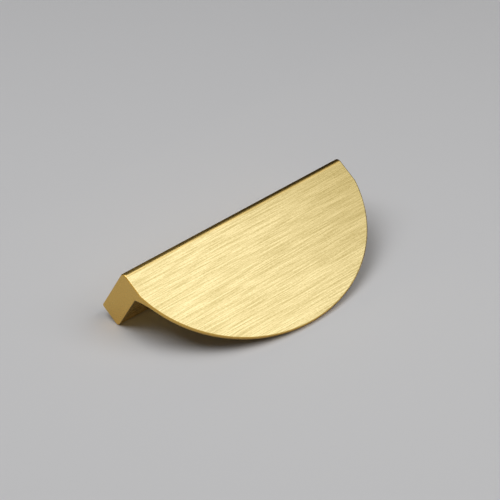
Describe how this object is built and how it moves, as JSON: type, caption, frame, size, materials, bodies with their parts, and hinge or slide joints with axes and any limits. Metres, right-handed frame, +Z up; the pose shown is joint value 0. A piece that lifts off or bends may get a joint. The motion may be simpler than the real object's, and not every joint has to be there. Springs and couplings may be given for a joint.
{
  "type": "cabinet pull",
  "caption": "Half moon cabinet pull: a thin half moon plate on a thick leg along its straight edge, fixed to a drawer or door from behind and gripped behind the plate.",
  "frame": {"origin": "centre of the foot's face, midway between the screw holes, in the mounting plane", "axes": "+X along the straight edge, +Y out of the foot into the drawer front, +Z up, with the half moon hanging down from the leg"},
  "size_m": [0.11, 0.026, 0.0515],
  "materials": {
    "brushed_brass": "satin, brushed lengthwise on the plate's front"
  },
  "bodies": {
    "root": {"half_moon_pull": "brushed_brass"}
  },
  "joints": []
}
